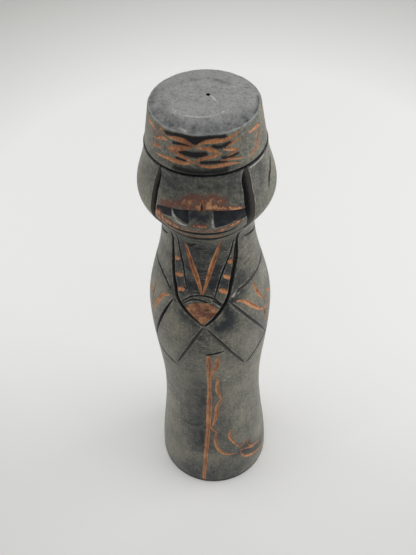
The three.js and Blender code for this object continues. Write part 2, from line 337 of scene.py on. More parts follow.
# Headband: leaf cuts, each with its width; the sides and back repeat a plain lozenge with wings
headband = {
    "front": [
        (1.5, [(-4.9, 175.1), (-14.6, 176.2), (-24.2, 176.5), (-34.5, 175.9)]),
        (0.8, [(-33.7, 176.1), (-44.2, 177.4), (-48, 177.7)]),
        (1.2, [(-74.7, 175.6), (-57.1, 176.2), (-46, 174.9)]),
        (1.5, [(-53.5, 172.7), (-42.2, 174.6), (-33, 174.9)]),
        (0.8, [(-52, 172.3), (-41.6, 171.5)]),
        (0.9, [(-58, 170), (-48.7, 170.9), (-39.8, 171.5)]),
        (1.9, [(-34, 172.4), (-23.8, 173.4), (-5.2, 175)]),
        (1.3, [(-32, 172.3), (-21.9, 171.8), (-12.8, 170.9), (-5, 169.9)]),
        (1.4, [(-48.5, 168.6), (-35.5, 169.2), (-23.5, 169.3), (-12.8, 169.4), (-5.2, 169.9)]),
        (1.7, [(-5, 175), (3.7, 176.4), (14, 176.6), (22, 176.4), (30.6, 176.7), (41, 177.6)]),
        (1.8, [(-4, 174.8), (5.9, 174.4), (12, 173.8), (20.6, 172.3)]),
        (1.5, [(20.6, 172.3), (11.8, 172), (1.8, 171.3), (-6, 169.9)]),
        (1.0, [(24, 174), (32.7, 174.9), (42, 175.5)]),
        (1.2, [(20.6, 173.6), (29.6, 173), (38, 172.3)]),
        (0.9, [(23.6, 171), (31.8, 171.7), (38, 172.3)]),
        (1.1, [(17.6, 170.2), (28.8, 170), (43, 168.8)]),
        (1.6, [(-5.6, 169.9), (2.4, 168.9), (11.4, 168.6), (20.5, 168.7), (29.3, 168.5), (40.5, 167.5)]),
        (1.3, [(50.3, 175.5), (63.4, 175.4), (73.5, 174.6)]),
        (0.8, [(57.6, 170.9), (64, 171.9), (70.4, 174.3)]),
        (1.1, [(47, 168), (59.1, 169.2), (67, 170.8)]),
    ],
    "rows": {"wingTop": 177.1, "upper": 174.9, "tip": 172.5, "lower": 169.9, "wingFoot": 168.3},
    "lozenges": [115, 180, 245],  # their middle angles
    "lozengeHalf": 26,
    "wing": 30,
    "plainWidth": 1.4,
    "fullness": 1.05,
}


def carveHeadband():
    rows = headband["rows"]
    leaves = list(headband["front"])
    for middle in headband["lozenges"]:
        for side in (-1, 1):
            tip = (middle + side * headband["lozengeHalf"], rows["tip"])
            for row, wing in (("upper", "wingTop"), ("lower", "wingFoot")):
                leaves.append((headband["plainWidth"], [(middle, rows[row]), tip]))
                end = (middle + side * headband["wing"], rows[wing])
                leaves.append((headband["plainWidth"], [(middle, rows[row]), end]))
    for index, (width, leaf) in enumerate(leaves):
        gougeCut(leaf, "band", bare, index, width * headband["fullness"])
    print("headband cut:", len(leaves), "leaves")


# Robe: crossed collars, neckline, chips between the collar lines, sleeves, belt, trim and hem curls
robe = {
    "collars": [
        [(-43, 138), (-41.9, 127.2), (-38.8, 120.7), (-33.5, 115.8), (-29, 111.6), (-18.3, 107.6),
         (-1, 102.3)],
        [(41.5, 139), (40.7, 128.4), (34.3, 122.3), (27.6, 116.4), (20.8, 111.4), (7.7, 105.3),
         (-1, 102.3)],
        [(52, 134), (110, 128.5), (180, 127), (250, 128.5), (308, 134)],
    ],
    "collarLines": [
        [(-34.5, 139), (-32.1, 131.2), (-25.5, 124), (-19, 115.8)],
        [(37.8, 136), (32.1, 130.1), (22.8, 124.7), (15.7, 119.7), (9.4, 113.4)],
        [(39.5, 134), (35.9, 126.3), (29.9, 120.6), (24, 114)],
    ],
    "necklineLeft": [(-23.8, 135), (-19.3, 130.3), (-13.3, 125), (-7.7, 120.6), (-2.6, 114.6)],
    "necklineRight": [(20.4, 136.8), (14.1, 131.2), (8.2, 126.2), (3.2, 121.1), (-2.4, 114.8)],
    "chips": [
        [(-40.5, 126), (-31.6, 127)],
        [(-36.6, 120.2), (-25.6, 121.2)],
        [(-33, 114.8), (-21.8, 116)],
        [(27.6, 127), (35, 126)],
        [(21.2, 122), (30.4, 120)],
        [(14.8, 117), (25.4, 114.8)],
    ],
    "handBand": [
        [(-27, 109.6), (-15.4, 113.6), (-2.4, 114.7), (9.3, 113.5), (19.6, 109.9)],
        [(-23.6, 110), (-13.4, 112.7), (-4.2, 112.9), (4.7, 111.6), (15.6, 109.4)],
        [(7, 113.1), (11.8, 111.9), (17, 110.1)],
    ],
    "grooves": [
        [(-104, 117), (-80, 117.4), (-63.9, 117.3), (-51.1, 116), (-37, 113)],
        [(-104, 115), (-92, 83.5)],
        [(108, 115), (100, 85)],
        [(-34.5, 110), (-42.6, 103.3), (-51.7, 94.5), (-64, 83)],
        [(-34, 75.8), (-47.9, 76.8), (-59, 77.7), (-92, 82)],
        [(43, 76.2), (61.5, 81.3), (76, 83.4), (100, 83.5)],
    ],
    "folds": [
        [(27.4, 112.3), (34.6, 114.2), (47.5, 115.2), (70, 116.4), (104, 117)],
        [(25, 111.2), (35.3, 106), (46.2, 99.8), (74, 83)],
        [(-2, 101.8), (-11.1, 94.7), (-19, 87.8), (-31, 77.8)],
        [(1.6, 101.4), (11.9, 95.2), (22, 88.5), (39.8, 76.8)],
    ],
    "belt": [(-1.6, 87), (7.5, 87.7), (17.6, 88.8)],
    "scratches": [
        [(-6.8, 96.1), (2.2, 96.5)],
        [(-8.2, 94.5), (1.3, 94.4)],
        [(-8.4, 93.1), (1.2, 92.8)],
        [(-8.6, 91.7), (0.9, 91.4)],
        [(-8.8, 90.3), (0.6, 90.1)],
        [(-8.6, 88.9), (0.2, 88.8)],
        [(-20.6, 134.6), (-16.3, 134.2), (-12, 135.2)],
        [(23.2, 131.6), (31.1, 131.4)],
        [(41.6, 44.9), (45.8, 45.4)],
    ],
    "leaves": [
        (1.6, [(57, 113.8), (59, 109.4), (68.4, 102.2)]),
        (1.9, [(31.4, 110.7), (39.8, 109.5), (48.3, 105.9), (58.2, 101.4), (68.5, 98.4)]),
        (1.1, [(67, 102.4), (76, 104.5), (86, 100.5)]),
        (1.1, [(65.5, 99.4), (76, 97.5), (86, 100.5)]),
        (1.3, [(65.4, 99.6), (69.9, 93.4), (81.5, 85.2)]),
        (1.9, [(-38.6, 111.1), (-48.9, 108.6), (-54.7, 104.3), (-62.8, 97.6)]),
        (1.1, [(-63.8, 113), (-65.5, 104.1), (-66, 97)]),
        (1.1, [(-66, 103), (-74, 105), (-82, 100.5)]),
    ],
    "trim": [(2.4, 86.6), (1.8, 73.9), (1, 55.9), (-0.7, 43.2), (-2.1, 34.1), (-4.4, 22), (-7.6, 1.2)],
    "scallops": [
        (2.1, [(11.9, 87.2), (9.6, 80.2), (4.7, 73.8)]),
        (0.9, [(3.4, 74.6), (10.3, 70.9), (13.2, 68.8)]),
        (1.9, [(11.4, 71), (10.1, 65.7), (11.3, 61), (15.8, 55.2)]),
        (1.8, [(15.4, 56.4), (10, 51.2), (8.4, 45), (3.4, 37.6)]),
        (0.9, [(0.5, 39.5), (4.2, 36), (10, 34)]),
        (1.5, [(8.6, 35.6), (6.7, 30.6), (8.5, 24.6), (14.6, 20.6), (22, 18.7), (32, 17.8)]),
    ],
    "curl": [
        (1.6, [(27.6, 34.6), (23.5, 31.7), (26.4, 27), (35.8, 20.6)]),
        (1.0, [(34.4, 19.6), (41.7, 21.7), (48.2, 23)]),
        (1.1, [(46.6, 23), (50.1, 16.8), (60.9, 14.1), (73.5, 12.2)]),
        (1.6, [(35.2, 18.4), (40.3, 13.3), (49.8, 10.4), (63.8, 7.8), (80, 5)]),
        (0.9, [(34.4, 18.8), (45, 17.1), (57.6, 13.2)]),
    ],
    "curlTurns": [0, 75, 150],
}

# Hands: a shield-shaped flat
hands = {
    "place": (-3, 107.6),
    "halfWidth": 6.4,
    "shoulder": 2,
    "crown": 4.6,
    "drop": 5,
    "depth": 0.7,
    "room": 4,  # height of the cutter, in depths
    "archSteps": 8,
}


def carveHands():
    angle, z = hands["place"]
    normal = surfaceNormal(angle, z)
    across = Vector((0, 0, 1)).cross(normal).normalized()
    upward = normal.cross(across)
    floor = onSurface(angle, z) - normal * hands["depth"]
    outline = [(0, -hands["drop"])]
    for step in range(hands["archSteps"] + 1):  # arched top edge, from right to left
        x = 1 - 2 * step / hands["archSteps"]
        y = hands["shoulder"] + (hands["crown"] - hands["shoulder"]) * (1 - x * x)
        outline.append((hands["halfWidth"] * x, y))
    bm = bmesh.new()
    shield = bm.faces.new([bm.verts.new(floor + across * x + upward * y) for x, y in outline])
    grown = bmesh.ops.extrude_face_region(bm, geom=[shield])["geom"]
    moved = [item for item in grown if isinstance(item, bmesh.types.BMVert)]
    bmesh.ops.translate(bm, verts=moved, vec=normal * hands["room"] * hands["depth"])
    setFinish(bm, palm)
    makeObject("handsCut", bm, cutters)


def carveRobe():
    for kind, finish, group in (
        ("collar", grooved, robe["collars"]),
        ("groove", grooved, robe["grooves"] + [robe["belt"]]),
        ("fold", seam, robe["folds"]),
        ("fine", grooved, robe["collarLines"] + robe["handBand"]),
        ("scratch", grooved, robe["scratches"]),
        ("necklineLeft", bare, [robe["necklineLeft"]]),
        ("necklineRight", bare, [robe["necklineRight"]]),
        ("trim", bare, [robe["trim"]]),
        ("chip", bare, robe["chips"]),
    ):
        for index, places in enumerate(group):
            gougeCut(places, kind, finish, index)
    for index, (width, places) in enumerate(robe["leaves"] + robe["scallops"]):
        gougeCut(places, "leaf", bare, index, width)
    for turn in robe["curlTurns"]:
        for width, places in robe["curl"]:
            gougeCut([(angle + turn, z) for angle, z in places], "leaf", bare, turn, width)
    carveHands()
    print("robe cut")


# Crown: the hole left by the lathe centre
crown = {
    "centre": (1, 0.8),
    "holeDepth": 2.4,
    "tipRadius": 0.2,
    "mouthRadius": 0.75,
    "sides": 16,
    "room": 0.6,  # how far the cutter stands above the crown
}


def carveCrown():
    bm = bmesh.new()
    bmesh.ops.create_cone(bm, cap_ends=True, segments=crown["sides"], radius1=crown["tipRadius"],
                          radius2=crown["mouthRadius"], depth=crown["holeDepth"] + crown["room"])
    lift = turned["height"] - crown["holeDepth"] / 2 + crown["room"] / 2
    bmesh.ops.translate(bm, verts=bm.verts, vec=(*crown["centre"], lift))
    setFinish(bm, grooved)
    makeObject("centreCut", bm, cutters)


# Patina and painted light: each mark follows a route of angle and height, or of x and y on the crown,
# with its width and strength. Wear is brown; the black marks are partly soot and partly painted shadow,
# as under the brow; the pale marks partly chalk and scratches and partly painted highlights, as on the
# rim of the left hollow, the lip of the headband and the right arm's groove;
# the ink marks a thicker stain and partly painted shade down the front of the body; and scuff a patch of
# dark streaks
patinaAndPaintedLight = {
    "wear": [
        ([(-33, 154.4), (-22, 155.6), (-10, 156.4)], 1.8, 0.7),
        ([(-12, 156.2), (0, 157), (9, 157), (14, 156.6)], 2.9, 0.95),
        ([(3, 155.6), (9, 156), (16, 155.6)], 1.1, 1.2),
        ([(16, 155.4), (22.6, 154.9), (28, 154.2), (32, 153.6)], 0.8, 1.3),
        ([(-38, 150.4), (-33, 149.2), (-28.9, 148.6), (-24.1, 147.8), (-21, 147.4)], 1.5, 1.4),
        ([(-20.3, 146.5), (-11.2, 146.8), (-4.7, 146.9), (5, 146.9), (9.1, 146.6), (17.5, 146.3)],
         0.5, 1.3),
        ([(-6.2, 149.2), (-1.5, 149.2), (3.2, 149.1)], 0.7, 1.1),
        ([(14, 147.1), (23.6, 148.2), (31, 149.2)], 1.0, 1.15),
        ([(-39.4, 150.6), (-39, 149.2), (-35.4, 147), (-30.6, 145), (-25.9, 143.6), (-16.3, 142.7),
          (-1.1, 141.9), (8, 141.8), (18, 142.1)], 0.6, 1.6),
        ([(-66, 158), (-70, 152), (-74, 148)], 2.5, 0.3),
    ],
    "sootshade": [
        ([(-36, 177), (-19.8, 177.7), (-5.7, 177.5), (7.8, 177.8), (24, 177.5)], 0.7, 0.95),
        ([(-13, 177), (-5.7, 176.5), (2, 177)], 1.0, 1.0),
        ([(-26.7, 174.9), (-18, 175.2), (-8.1, 175.1)], 0.5, 1.0),
        ([(-17.8, 172.6), (-6.6, 172.4), (4.2, 172.6)], 1.0, 1.0),
        ([(12.2, 175), (19.1, 174.6), (28.3, 175)], 0.7, 0.9),
        ([(20.9, 171), (28.3, 170.9), (36.1, 171)], 0.5, 0.9),
        ([(1, 170.1), (13, 170), (24.7, 169.7)], 0.5, 1.0),
        ([(-22.7, 170.4), (-14.4, 170.2)], 0.5, 0.9),
        ([(-24, 167.2), (0, 166.8), (24, 167)], 1.1, 0.7),
        ([(0, 165.5), (45, 165.5), (90, 165.5), (135, 165.5), (180, 165.5), (225, 165.5), (270, 165.5),
          (315, 165.5), (360, 165.5)], 0.32, 0.9),
        # painted shadow: a black line under the brow
        ([(-34, 153.2), (-20, 154), (0, 154.4), (20, 153.8), (33, 152.4)], 0.4, 0.8),
        ([(86, 162), (78, 158.6), (70, 156)], 0.7, 0.5),
        ([(-20.6, 134.6), (-16.3, 134.2), (-12, 135.2)], 0.6, 0.9),
        ([(-32.9, 37.4), (-20.8, 36.9), (-8.7, 39.2)], 0.7, 0.5),
        ([(-6.5, 57), (-6.5, 53)], 1.2, 0.5),
        ([(-8.9, 33), (-9.4, 27)], 1.3, 0.5),
        ([(-46, 93.5), (-35.5, 93.7)], 0.8, 0.3),
        ([(42, 17), (54, 13), (68, 10)], 5, 0.45),
        ([(-60, 0.6), (0, 0.4), (60, 0.6)], 1.3, 0.6),
    ],
    "chalk": [
        # painted highlight: a pale crescent on the lower rim of the left hollow
        ([(-24.6, 153.2), (-23.4, 152.6), (-21.5, 151.5), (-19.5, 150.2), (-15.5, 149.4), (-12.5, 149.2)],
         0.42, 0.8),
        # painted highlights along the lower lip of the headband, on the right and the left
        ([(48, 164.7), (52.9, 164.7), (63.5, 164.7), (69.8, 164.7)], 0.3, 0.75),
        ([(-54, 164.6), (-49, 164.5)], 0.3, 0.6),
        ([(41, 150), (40.4, 147.6), (36, 144.6)], 0.3, 0.5),
        # painted glint on the groove of the right upper arm
        ([(28.6, 112.9), (31.5, 113.7), (33.6, 114.2)], 0.4, 1.0),
        # the worn right edge of the nose, with a painted highlight
        ([(8.7, 151.8), (9.1, 150.6), (9.8, 148.6)], 0.35, 0.6),
        ([(18, 69.6), (18.6, 69.2)], 0.7, 0.6),
        ([(21.7, 71.1), (24.5, 71.2)], 0.5, 0.5),
        ([(-63.3, 50.3), (-60, 51)], 0.5, 0.5),
        ([(-47.4, 56.4), (-46, 56.2)], 0.4, 0.5),
        ([(-21.5, 92.4), (-21.3, 92.3)], 0.35, 0.8),
        ([(-20.6, 87.4), (-20.5, 87.2)], 0.35, 0.9),
    ],
    "ink": [
        ([(-33, 160.6), (0, 161), (33, 160.6)], 5.6, 0.66),
        ([(-6, 152.2), (0, 151.6), (5, 152.2)], 2.6, 1.0),
        ([(-36, 168.6), (0, 167.6), (30, 167.6)], 1.6, 0.5),
        ([(56, 163), (64, 160), (52, 156)], 2.5, 0.45),
        ([(-30, 135), (0, 131), (30, 134)], 4, 0.7),
        ([(-30, 125), (0, 124), (26, 125)], 6, 0.8),
        ([(-28, 117), (0, 118), (20, 118)], 5, 1.0),
        ([(41.8, 118.4), (36.8, 113.9), (27, 110.6)], 3.4, 0.9),
        ([(24.6, 109.6), (24.2, 104.8), (13.7, 101.6)], 4, 1.1),
        ([(-38, 117), (-34, 111), (-27, 108), (-18, 104.7), (-9, 103)], 3, 0.75),
        ([(-66.5, 126.3), (-54, 125)], 3, 0.5),
        ([(-6, 97), (-4, 90), (2, 88)], 2.5, 0.5),
        # painted shade: the front of the body darker, low down
        ([(-6, 66), (-9, 45), (-12, 26)], 6, 0.8),
        ([(42, 19), (52, 14), (66, 11)], 5, 0.4),
        ([(14, 40), (18, 10)], 5, 0.35),
        # painted shade along the front of the base
        ([(-24, 6), (0, 4), (30, 6)], 8, 0.75),
    ],
    "crownInk": [
        ([(-13.5, -7), (-8, -12.2), (0, -14.4), (8, -12.2), (13.5, -7)], 3.2, 0.6),
        ([(-14.8, 4), (-15.3, -3), (-12, -9.6)], 1.6, 0.5),
        ([(15.4, 3), (15.4, -3), (12.6, -9)], 0.7, 0.8),
        ([(-7, 6.4), (0, 8.8), (7, 6.6)], 0.7, 0.35),
    ],
    "halo": (1.7, 0.6),  # darker beside the carved lines of the robe, added to the ink marks
    "haloed": ("collars", "collarLines", "handBand", "grooves", "folds"),
    "hollowDepth": 0.7,  # wear stays off what lies deeper than this, down to so far under the brow
    "hollowDrop": 4,
    "topMargin": 0.02,  # above the rim, where the crown begins
    "scuff": [
        ([(-8, 134), (0, 128), (0, 118)], 5.5, 1.0),
        ([(28, 131), (30, 127)], 2, 0.8),
        ([(-4, 97), (-3, 88)], 4, 0.8),
        ([(52, 131), (60, 122)], 5, 0.6),
        ([(-20, 167.5), (0, 167.5), (20, 167.5)], 1.4, 0.7),
    ],
    "crownChalk": [
        ([(1.9, 0.1), (2.6, -0.7), (3.3, -1.9)], 0.3, 0.8),
        ([(8.2, 5.4), (8.3, 5.4)], 0.3, 0.9),
        # a pale line along the front of the crease round the flat of the crown: worn edge and painted
        # highlight
        ([(-7.6, -7.4), (-3.6, -9.6), (-0.6, -10), (3, -9), (6, -7)], 0.22, 0.6),
        # painted light on the front-left of the cone
        ([(-9, -6.6), (-7, -8.2), (-5, -9.6)], 1.6, 0.3),
        # painted highlight on the front of the rim
        ([(-6, -13.6), (-4, -14.6)], 0.5, 0.5),
    ],
}


def routeDistance(across, along, places, turn, density=8):
    best = numpy.full(len(along), 1e9)
    steps = density * len(places)
    points = [alongRoute(places, step / steps) for step in range(steps + 1)]
    for (startX, startY), (endX, endY) in zip(points, points[1:]):
        x, y, runX, runY = turn(across, startX), along - startY, turn(endX, startX), endY - startY
        share = numpy.clip((x * runX + y * runY) / (runX * runX + runY * runY + 1e-9), 0, 1)
        best = numpy.minimum(best, (x - share * runX) ** 2 + (y - share * runY) ** 2)
    return numpy.sqrt(best)


def markStrength(across, along, turn, routes):
    values = numpy.zeros(len(along))
    for places, width, strength in routes:
        distance = routeDistance(across, along, places, turn)
        values = numpy.maximum(values, strength * numpy.exp(-(distance / width) ** 2))
    return values


def writeAttribute(mesh, name, values):
    mesh.attributes.new(name, "FLOAT", "POINT").data.foreach_set("value", values.astype(numpy.float32))


# Rubbed edges with a painted highlight: points shared by the stained surface and a groove or seam
def findBorders(mesh):
    firstFinish, borders = {}, numpy.zeros(len(mesh.vertices))
    for polygon in mesh.polygons:
        for key in polygon.edge_keys:
            pair = {firstFinish.setdefault(key, polygon.material_index), polygon.material_index}
            if pair in ({stained, grooved}, {stained, seam}):
                borders[list(key)] = 1
    return borders


def markSurface(mesh):
    spots = numpy.empty(3 * len(mesh.vertices), numpy.float32)
    mesh.vertices.foreach_get("co", spots)
    x, y, heights = spots.reshape(-1, 3).astype(float).T
    angles = numpy.degrees(numpy.arctan2(x, -y))
    radii = numpy.array([turnedRadius(z) for z in heights])
    depths = numpy.maximum(0, radii - numpy.hypot(x, y))
    onTop = heights > turned["rimHeight"] + patinaAndPaintedLight["topMargin"]
    hollows = (depths > patinaAndPaintedLight["hollowDepth"]) & (heights > face["browHeight"] - patinaAndPaintedLight["hollowDrop"])
    halo = [(line, *patinaAndPaintedLight["halo"]) for group in patinaAndPaintedLight["haloed"] for line in robe[group]]

    def arc(angle, other):
        return numpy.radians((angle - other + 180) % 360 - 180) * radii

    for name in ("wear", "sootshade", "chalk", "ink", "scuff"):
        values = markStrength(angles, heights, arc, patinaAndPaintedLight[name] + (halo if name == "ink" else []))
        if name == "wear":
            values[hollows] = 0
        crownRoutes = patinaAndPaintedLight.get("crown" + name.capitalize(), [])
        values[onTop] = markStrength(x, y, numpy.subtract, crownRoutes)[onTop]
        writeAttribute(mesh, name, values)
    writeAttribute(mesh, "depth", numpy.where(onTop, turned["height"] - heights, depths))
    writeAttribute(mesh, "border", findBorders(mesh))
    print("patina marked")


# Shader helpers: an input takes another node's output or a plain value
def put(tree, target, value):
    if isinstance(value, bpy.types.NodeSocket):
        tree.links.new(value, target)
    else:
        target.default_value = value


def newMaterial(name):
    material = bpy.data.materials.new(name)
    material.use_nodes = True
    return material, material.node_tree


def addNode(tree, kind, inputs=None, **settings):
    node = tree.nodes.new(kind)
    for key, value in settings.items():
        setattr(node, key, value)
    for key, value in (inputs or {}).items():
        put(tree, node.inputs[key], value)
    return node


def millimetres(tree, scale=(1, 1, 1)):
    place = addNode(tree, "ShaderNodeTexCoord").outputs["Object"]
    inputs = {"Vector": place, "Scale": [v / mm for v in scale]}
    return addNode(tree, "ShaderNodeMapping", inputs).outputs[0]


def noiseAt(tree, vector, scale, detail, roughness):
    inputs = {"Vector": vector, "Scale": scale, "Detail": detail, "Roughness": roughness}
    return addNode(tree, "ShaderNodeTexNoise", inputs).outputs["Fac"]


def mapRange(tree, value, low, high, start=0, end=1):
    inputs = {"Value": value, "From Min": low, "From Max": high, "To Min": start, "To Max": end}
    return addNode(tree, "ShaderNodeMapRange", inputs).outputs[0]


def combine(tree, operation, a, b):
    return addNode(tree, "ShaderNodeMath", {0: a, 1: b}, operation=operation).outputs[0]


def weightedSum(tree, values, shares):
    total = 0
    for value, share in zip(values, shares):
        total = combine(tree, "ADD", total, combine(tree, "MULTIPLY", value, share))
    return total


def mixColour(tree, share, a, b):
    node = addNode(tree, "ShaderNodeMix", data_type="RGBA")
    for index, value in ((0, share), (6, a), (7, b)):
        put(tree, node.inputs[index], (*value, 1) if isinstance(value, tuple) else value)
    return node.outputs[2]


def attribute(tree, name):
    return addNode(tree, "ShaderNodeAttribute", attribute_name=name).outputs["Fac"]


def brokenMark(tree, name, texture, span):
    return combine(tree, "MULTIPLY", attribute(tree, name), mapRange(tree, texture, *span))


def finishShader(tree, spec, colour, roughness=None, relief=None):
    shader = tree.nodes["Principled BSDF"]
    put(tree, shader.inputs["Base Color"], colour)
    put(tree, shader.inputs["Roughness"], spec["roughness"] if roughness is None else roughness)
    put(tree, shader.inputs["Specular IOR Level"], spec["sheen"])
    if relief is not None:
        strength, depth = spec["bump"]
        inputs = {"Height": relief, "Strength": strength, "Distance": depth * mm}
        put(tree, shader.inputs["Normal"], addNode(tree, "ShaderNodeBump", inputs).outputs[0])


# In each finish a noise has its scale per millimetre, detail and roughness, a Run stretches it along x, y
# and z, a Span says from where to where a colour comes in, and how much at each end if not 0 and 1, and
# bump has its strength and its depth in millimetres
marks = {
    "wornDeep": (0.13, 0.055, 0.04),
    "wornPale": (0.52, 0.27, 0.13),
    "sootshade": (0.007, 0.007, 0.008),
    "chalk": (0.62, 0.62, 0.6),
    "breakUp": (1.1, 4, 0.65),
    "brushed": (0.9, 5, 0.7),
    "brushedRun": (1, 1, 0.4),
    "wearBreakSpan": (0.36, 0.64, 0.3, 1.15),
    "wornPaleSpan": (0.55, 1.1),
    "wearSpan": (0.15, 0.5),
    "sootshadeBreakSpan": (0.25, 0.5, 0.6, 1.2),
    "sootshadeSpan": (0.1, 0.75),
    "chalkBreakSpan": (0.3, 0.6, 0.4, 1.1),
    "chalkSpan": (0.15, 0.8),
}


# Wear, the black marks of soot and painted shadow, and the pale marks of chalk and painted highlights lie
# over whatever finish is under them
def addPatinaAndPaintedLight(tree, colour, even):
    breakUp = noiseAt(tree, even, *marks["breakUp"])
    brushed = noiseAt(tree, millimetres(tree, marks["brushedRun"]), *marks["brushed"])
    wear = brokenMark(tree, "wear", brushed, marks["wearBreakSpan"])
    paler = mapRange(tree, wear, *marks["wornPaleSpan"])
    worn = mixColour(tree, paler, marks["wornDeep"], marks["wornPale"])
    colour = mixColour(tree, mapRange(tree, wear, *marks["wearSpan"]), colour, worn)
    # black marks: soot and painted shadow; pale marks: chalk and painted highlights
    for name in ("sootshade", "chalk"):
        mark = brokenMark(tree, name, breakUp, marks[name + "BreakSpan"])
        colour = mixColour(tree, mapRange(tree, mark, *marks[name + "Span"]), colour, marks[name])
    return colour


stainedWood = {
    "olive": (0.212, 0.203, 0.155),
    "slate": (0.052, 0.055, 0.056),
    "ink": (0.02, 0.023, 0.03),
    "pale": (0.36, 0.355, 0.32),
    "pit": (0.012, 0.013, 0.015),
    "dust": (0.31, 0.318, 0.316),
    "cloud": (0.09, 4, 0.6),
    "mottle": (0.38, 6, 0.75),
    "fleck": (1.2, 3, 0.65),
    "grain": (1.1, 4, 0.6),
    "grainRun": (1, 1, 0.06),
    "streak": (1, 3, 0.55),
    "streakRun": (0.28, 0.28, 2.2),
    "toneShares": (0.5, 0.28, 0.22),  # of cloud, mottle and grain
    "slateSpan": (0.59, 0.39, 0, 0.85),
    "dustTiltSpan": (0.75, 0.97),
    "dustSpan": (0.34, 0.6, 0.5, 1),
    "paleSpan": (0.55, 0.72, 0, 0.6),
    "pitSpan": (0.45, 0.3, 0, 0.6),
    "inkshadeSpan": (0.38, 0.6, 1.25, 0.6),
    "scuffSpan": (0.52, 0.4, 0, 0.95),
    "borderSpan": (0.4, 0.56, 0, 0.8),
    "roughnessSpan": (0.35, 0.65, 0.34, 0.58),
    "bump": (0.45, 0.18),
    "sheen": 0.3,
}


def makeStainedWood():
    material, tree = newMaterial("stainedWood")
    spec = stainedWood
    even = millimetres(tree)
    cloud, mottle, fleck = (noiseAt(tree, even, *spec[name]) for name in ("cloud", "mottle", "fleck"))
    grain = noiseAt(tree, millimetres(tree, spec["grainRun"]), *spec["grain"])
    streak = noiseAt(tree, millimetres(tree, spec["streakRun"]), *spec["streak"])
    tone = weightedSum(tree, (cloud, mottle, grain), spec["toneShares"])
    colour = mixColour(tree, mapRange(tree, tone, *spec["slateSpan"]), spec["olive"], spec["slate"])
    normal = addNode(tree, "ShaderNodeNewGeometry").outputs["Normal"]
    upward = addNode(tree, "ShaderNodeSeparateXYZ", {0: normal}).outputs["Z"]
    lying = mapRange(tree, upward, *spec["dustTiltSpan"])
    for share, coat in (
        (combine(tree, "MULTIPLY", lying, mapRange(tree, mottle, *spec["dustSpan"])), "dust"),
        (mapRange(tree, fleck, *spec["paleSpan"]), "pale"),
        (mapRange(tree, fleck, *spec["pitSpan"]), "pit"),
        # ink: a thicker stain, and partly painted shade down the front of the body
        (brokenMark(tree, "ink", mottle, spec["inkshadeSpan"]), "ink"),
        (brokenMark(tree, "scuff", streak, spec["scuffSpan"]), "pit"),
        # painted highlight along the edges of grooves and seams, partly rubbed wear
        (brokenMark(tree, "border", mottle, spec["borderSpan"]), "pale"),
    ):
        colour = mixColour(tree, share, colour, spec[coat])
    roughness = mapRange(tree, mottle, *spec["roughnessSpan"])
    relief = combine(tree, "ADD", mottle, fleck)
    finishShader(tree, spec, addPatinaAndPaintedLight(tree, colour, even), roughness, relief)
    return material


groovedWood = {
    "facet": (0.085, 0.08, 0.066),
    "deep": (0.008, 0.008, 0.009),
    "fleck": (1.2, 4, 0.55),
    "fleckSpan": (0.3, 0.7, 0.12, -0.12),
    "deepSpan": (0.02, 0.4),  # millimetres under the turned surface
    "roughness": 0.45,
    "sheen": 0.15,
}

# The notches and folds have a clear facet above their black foot, which is partly dark stain and partly
# painted shade
seamWood = {
    "facet": (0.065, 0.06, 0.054),
    "deep": (0.006, 0.006, 0.008),
    "fleck": (0.9, 4, 0.55),
    "fleckSpan": (0.3, 0.7, 0.12, -0.12),
    "deepSpan": (0.42, 0.9),
    "roughness": 0.42,
    "sheen": 0.15,
}


def makeCutWood(name, spec):
    material, tree = newMaterial(name)
    even = millimetres(tree)
    fleck = noiseAt(tree, even, *spec["fleck"])
    # the deeper part of a cut is painted dark: partly stain gathered there, partly painted shade
    sunk = combine(tree, "ADD", attribute(tree, "depth"), mapRange(tree, fleck, *spec["fleckSpan"]))
    colour = mixColour(tree, mapRange(tree, sunk, *spec["deepSpan"]), spec["facet"], spec["deep"])
    finishShader(tree, spec, addPatinaAndPaintedLight(tree, colour, even))
    return material


bareWood = {
    "pale": (0.56, 0.26, 0.115),
    "deep": (0.2, 0.078, 0.042),
    "sunk": (0.085, 0.028, 0.018),
    "grain": (2, 4, 0.55),
    "grainRun": (1, 1, 0.15),
    "blotch": (0.2, 5, 0.65),
    "toneShares": (0.5, 0.5),  # of grain and blotch
    "paleSpan": (0.38, 0.6),
    "sunkSpan": (0.4, 0.8, 0, 0.5),
    "sootshadeShare": 0.8,
    "bump": (0.4, 0.12),
    "roughness": 0.5,
    "sheen": 0.3,
}


def makeBareWood():
    material, tree = newMaterial("bareWood")
    spec = bareWood
    grain = noiseAt(tree, millimetres(tree, spec["grainRun"]), *spec["grain"])
    blotch = noiseAt(tree, millimetres(tree), *spec["blotch"])
    tone = weightedSum(tree, (grain, blotch), spec["toneShares"])
    colour = mixColour(tree, mapRange(tree, tone, *spec["paleSpan"]), spec["deep"], spec["pale"])
    sunk = mapRange(tree, attribute(tree, "depth"), *spec["sunkSpan"])
    # the bare cuts darken under the black marks, which are partly soot and partly painted shadow
    sootshadeMask = combine(tree, "MULTIPLY", attribute(tree, "sootshade"), spec["sootshadeShare"])
    for share in (sunk, sootshadeMask):
        colour = mixColour(tree, share, colour, spec["sunk"])
    finishShader(tree, spec, colour, relief=grain)
    return material


hollowWood = {
    "black": (0.011, 0.014, 0.021),
    "rubbed": (0.034, 0.037, 0.041),
    "cloud": (0.45, 4, 0.6),
    "rubbedSpan": (0.42, 0.68),
    "bump": (0.4, 0.3),
    "roughness": 0.3,
    "sheen": 0.25,
}


def makeHollowWood():
    material, tree = newMaterial("hollowWood")
    spec = hollowWood
    even = millimetres(tree)
    cloud = noiseAt(tree, even, *spec["cloud"])
    colour = mixColour(tree, mapRange(tree, cloud, *spec["rubbedSpan"]), spec["black"], spec["rubbed"])
    finishShader(tree, spec, addPatinaAndPaintedLight(tree, colour, even), relief=cloud)
    return material


